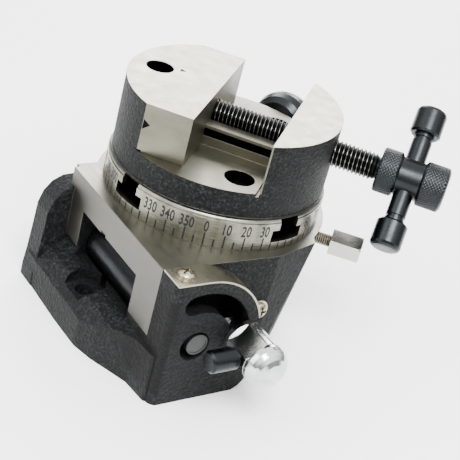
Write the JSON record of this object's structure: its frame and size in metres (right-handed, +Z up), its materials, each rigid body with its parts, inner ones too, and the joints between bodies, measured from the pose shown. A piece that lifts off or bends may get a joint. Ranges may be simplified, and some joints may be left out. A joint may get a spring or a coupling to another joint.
{
  "type": "rotary table with round vise",
  "caption": "Small horizontal rotary table with graduated rim, worm drive with release lever, table lock and a round two-jaw screw vise on top.",
  "frame": {"origin": "table axis at the underside of the base", "axes": "+Z up along the table axis; the worm housing faces -Y and the window face is -X"},
  "size_m": [0.1207, 0.122, 0.104],
  "materials": {
    "casting_paint": "dark charcoal hammer-textured enamel on castings",
    "machined_steel": "ground and turned bright steel",
    "plate_metal": "bright bent sheet",
    "plated_screws": "zinc plated",
    "black_oxide": "blued steel",
    "inner_steel": "turned steel",
    "bronze": "bearing bronze",
    "lock_brass": "brass, dull",
    "chrome": "polished chrome",
    "hex_steel": "bright nickelled steel"
  },
  "bodies": {
    "base": {"base_casting": "casting_paint", "spindle_bush": "bronze", "index_plate": "plate_metal", "plate_screws": "plated_screws"},
    "table": {"rotary_table": "machined_steel", "table_spindle": "inner_steel", "thrust_washer": "bronze", "bearing_nut": "black_oxide", "worm_wheel": "bronze", "wheel_nut": "black_oxide", "vise_base": "casting_paint", "vise_mount_screws": "black_oxide"},
    "jaw": {"moving_jaw": "machined_steel", "jaw_keepers": "inner_steel", "retainer_pins": "inner_steel"},
    "screw": {"vise_screw": "black_oxide", "handle_hub": "black_oxide", "hub_pin": "inner_steel"},
    "bar": {"cross_bar": "black_oxide", "bar_caps": "black_oxide"},
    "lever": {"eccentric_sleeve": "black_oxide", "worm_bushes": "bronze", "lever_stud": "chrome", "lever_knob": "chrome", "lever_rod": "black_oxide"},
    "worm": {"worm_shaft": "inner_steel", "worm_collar": "inner_steel"},
    "lock_pad": {"lock_pad": "lock_brass"},
    "lock": {"lock_screw": "lock_brass", "lock_head": "hex_steel"},
    "knob": {"side_knob": "black_oxide", "side_knob_stem": "inner_steel"}
  },
  "joints": [
    {"name": "table_spin", "type": "hinge", "parent": "base", "child": "table", "pos_m": [0, 0, 0.05], "axis": [0, 0, 1], "continuous": true},
    {"name": "worm_engage", "type": "hinge", "parent": "base", "child": "lever", "pos_m": [-0.033, -0.02, 0.024], "axis": [0, -1, 0], "range_deg": [0, 92]},
    {"name": "worm_spin", "type": "hinge", "parent": "lever", "child": "worm", "pos_m": [-0.03165, 0, 0.024], "axis": [0, 1, 0], "continuous": true},
    {"name": "lock_travel", "type": "slide", "parent": "base", "child": "lock_pad", "axis": [0.7071, -0.7071, 0], "range_m": [-0.0002, 0.003]},
    {"name": "lock_turn", "type": "hinge", "parent": "lock_pad", "child": "lock", "pos_m": [0.02121, -0.02121, 0.045], "axis": [0.7071, -0.7071, 0], "range_deg": [-95, 1355]},
    {"name": "jaw_travel", "type": "slide", "parent": "table", "child": "jaw", "axis": [0.6626, -0.749, 0], "range_m": [-0.008, 0.028]},
    {"name": "screw_turn", "type": "hinge", "parent": "jaw", "child": "screw", "pos_m": [0, 0, 0.0812], "axis": [0.6626, -0.749, 0], "range_deg": [-1930, 6730]},
    {"name": "bar_slide", "type": "slide", "parent": "screw", "child": "bar", "axis": [0.5296, 0.4685, 0.7071], "range_m": [-0.0092, 0.0092]},
    {"name": "knob_turn", "type": "hinge", "parent": "table", "child": "knob", "pos_m": [0.04027, 0.02008, 0.0651], "axis": [0.8949, 0.4462, 0], "range_deg": [0, 720]}
  ],
  "couplings": [
    {"joint": "worm_spin", "follows": "table_spin", "ratio": 72},
    {"joint": "lock_turn", "follows": "lock_travel", "rad_per_m": 7854},
    {"joint": "screw_turn", "follows": "jaw_travel", "rad_per_m": 4188.8}
  ]
}
